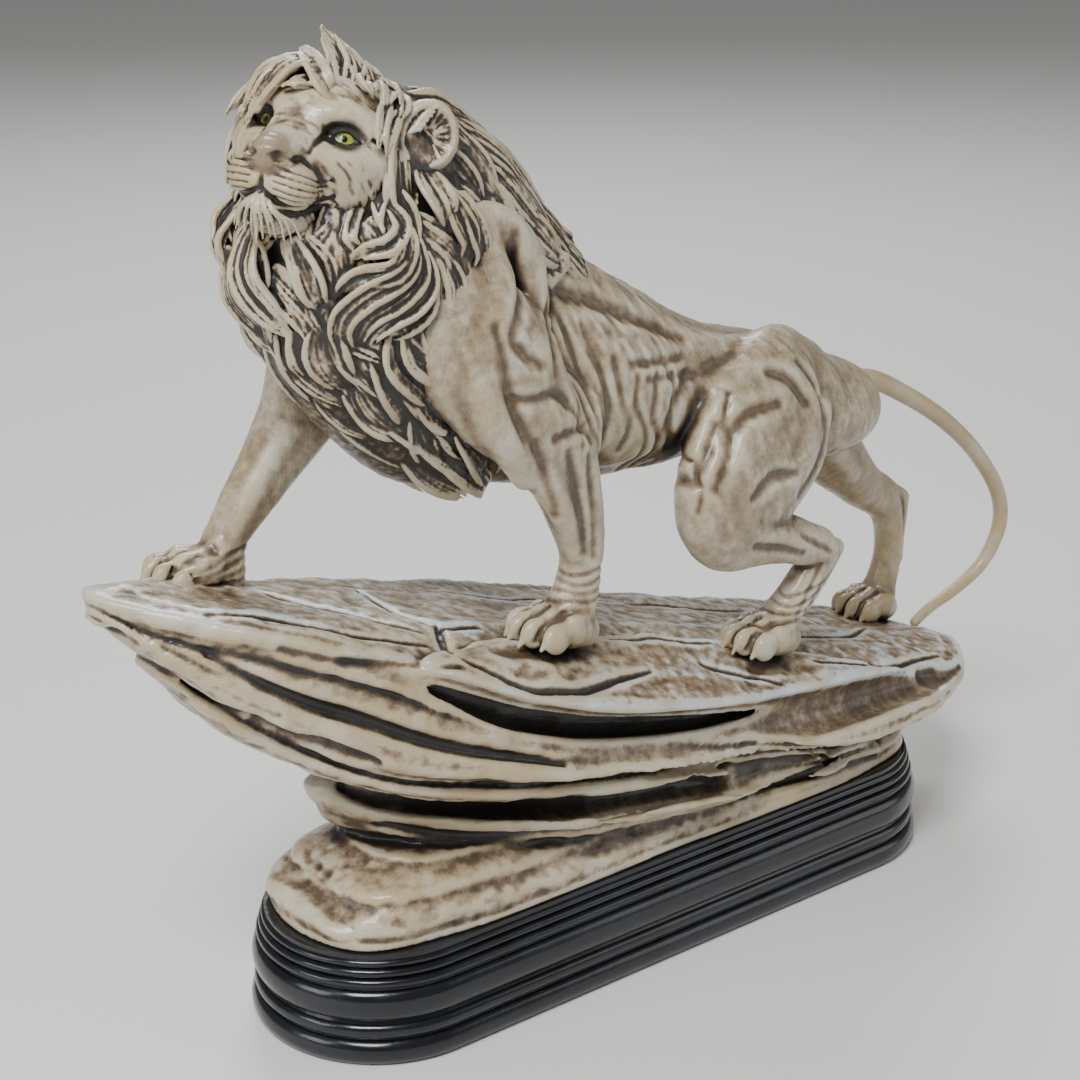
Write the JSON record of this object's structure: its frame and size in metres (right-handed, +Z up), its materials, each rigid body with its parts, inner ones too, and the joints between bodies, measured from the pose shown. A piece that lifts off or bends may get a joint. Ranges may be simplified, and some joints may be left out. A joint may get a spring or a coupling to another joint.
{
  "type": "lion statuette",
  "caption": "Maned lion striding up a jutting layered rock ledge, cast in one with it, on a moulded oval plinth; tail curls down to the rock.",
  "frame": {"origin": "centre of the plinth's flat underside", "axes": "+Z up; +X along the plinth towards the lion's tail, so the lion faces -X; +Y towards the lion's right side"},
  "size_m": [0.4291, 0.1105, 0.3398],
  "materials": {
    "antiqued_cream_casting": "cast polyresin painted cream, dark brown wash rubbed into the recesses, tan glaze on the tail and rock, satin to gloss varnish",
    "black_gloss_plinth": "moulded base lacquered blue-black, high gloss"
  },
  "bodies": {
    "root": {"lion_on_rock_ledge": "antiqued_cream_casting", "plinth": "black_gloss_plinth"}
  },
  "joints": []
}
